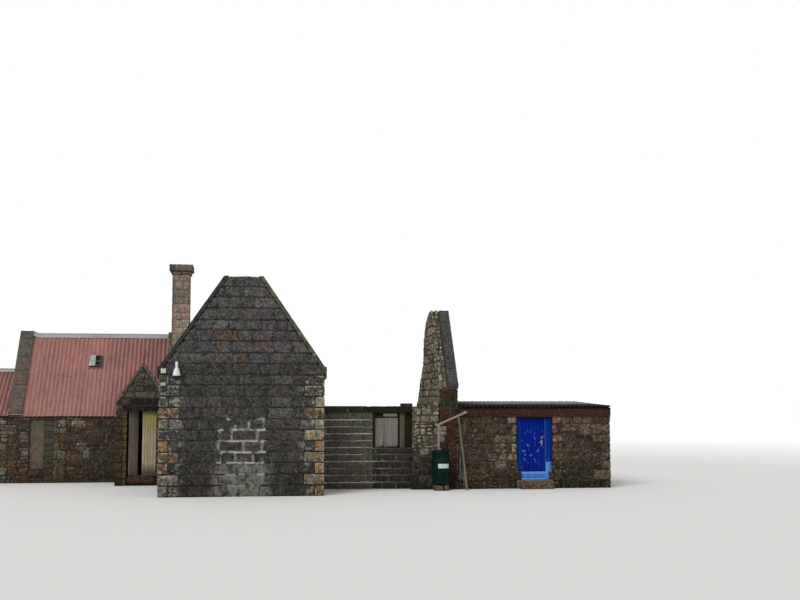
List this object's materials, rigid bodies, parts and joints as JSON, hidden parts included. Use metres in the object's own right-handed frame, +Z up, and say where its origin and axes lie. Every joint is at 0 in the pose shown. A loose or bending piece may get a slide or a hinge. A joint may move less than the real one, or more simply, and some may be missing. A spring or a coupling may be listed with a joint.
{
  "type": "railway station building",
  "caption": "Part-ruined stone station building: gabled wing, roofless main range with an end gable, low store with a blue door, and a lower range and porch under corrugated roofs.",
  "frame": {"origin": "middle of the underside of the wing's front gable wall, on the ground", "axes": "+X along the front to the right as seen from the forecourt, +Y back to the platform side, +Z up"},
  "size_m": [22.32, 11.1859, 7.91],
  "materials": {
    "whinstone": "dark coursed rubble, weathered",
    "rubble": "mixed reddish and grey rubble, limewash traces",
    "sandstone": "dressed sandstone, weathered",
    "concrete_block": "concrete blocks in mortar",
    "concrete": "worn concrete",
    "red_sheet": "faded red paint with rust",
    "cement_sheet": "weathered fibre cement with moss",
    "grey_flashing": "dull grey",
    "dark_timber": "old dark timber",
    "pale_board": "weathered board",
    "purlin_timber": "sawn timber",
    "cream_door": "worn boards, mossy",
    "blue_door": "flaking blue paint",
    "red_fascia": "dark red paint",
    "rooflight_pane": "cloudy pane",
    "rooflight_frame": "rusted",
    "iron": "black iron",
    "pink_pipe": "faded pipe",
    "green_butt": "green moulded plastic",
    "pole_timber": "bare pole",
    "grey_pipe": "blue-grey pipe",
    "white_plastic": "white housing",
    "pale_plastic": "yellowed plastic"
  },
  "bodies": {
    "building": {"wing_front_gable": "whinstone", "wing_skews": "whinstone", "wing_west_wall": "whinstone", "wing_east_wall": "whinstone", "wing_rear_piers": "whinstone", "wing_rear_gable": "whinstone", "main_end_gable": "rubble", "main_end_skew": "whinstone", "front_wall_stub": "rubble", "main_rear_wall": "rubble", "block_wall": "concrete_block", "window_apron": "concrete_block", "window_lintel": "dark_timber", "window_boards": "pale_board", "wall_head_slab": "concrete", "left_front_wall": "rubble", "left_rear_wall": "rubble", "blocked_panels": "concrete_block", "stone_lintels": "sandstone", "dividing_gable": "rubble", "dividing_skews": "whinstone", "shared_gable": "rubble", "chimney_stack": "rubble", "chimney_cap": "sandstone", "low_side_walls": "rubble", "low_end_gable": "rubble", "left_roof_front": "red_sheet", "left_roof_rear": "red_sheet", "low_roof": "red_sheet", "rooflight": "rooflight_frame", "rooflight_pane": "rooflight_pane", "ridge_flashings": "grey_flashing", "roof_purlins": "purlin_timber", "porch_piers": "whinstone", "porch_gable": "whinstone", "porch_skews": "whinstone", "porch_side_wall": "rubble", "porch_roof": "red_sheet", "porch_ledger": "purlin_timber", "porch_threshold": "sandstone", "hinge_pins": "iron", "left_floor": "concrete", "store_front_wall": "rubble", "store_end_wall": "rubble", "store_rear_wall": "rubble", "store_roof": "cement_sheet", "store_fascia": "red_fascia", "store_floor": "concrete", "store_frame": "blue_door", "store_step": "sandstone", "downpipe": "pink_pipe", "water_butt": "green_butt", "leaning_pole": "pole_timber", "upright_pipe": "grey_pipe", "dome_camera": "white_plastic", "wall_boxes": "pale_plastic"},
    "porch_leaf_left": {"porch_door_left": "cream_door"},
    "porch_leaf_right": {"porch_door_right": "cream_door"},
    "store_leaf": {"store_door": "blue_door"}
  },
  "joints": [
    {"name": "porch_left_hinge", "type": "hinge", "parent": "building", "child": "porch_leaf_left", "pos_m": [-3.7935, 5.02, 1.4], "axis": [0, 0, 1], "range_deg": [-55, 35]},
    {"name": "porch_right_hinge", "type": "hinge", "parent": "building", "child": "porch_leaf_right", "pos_m": [-2.8815, 5.02, 1.4], "axis": [0, 0, -1], "range_deg": [0, 90]},
    {"name": "store_hinge", "type": "hinge", "parent": "building", "child": "store_leaf", "pos_m": [9.0665, 1.95, 1.4], "axis": [0, 0, 1], "range_deg": [0, 90]}
  ]
}
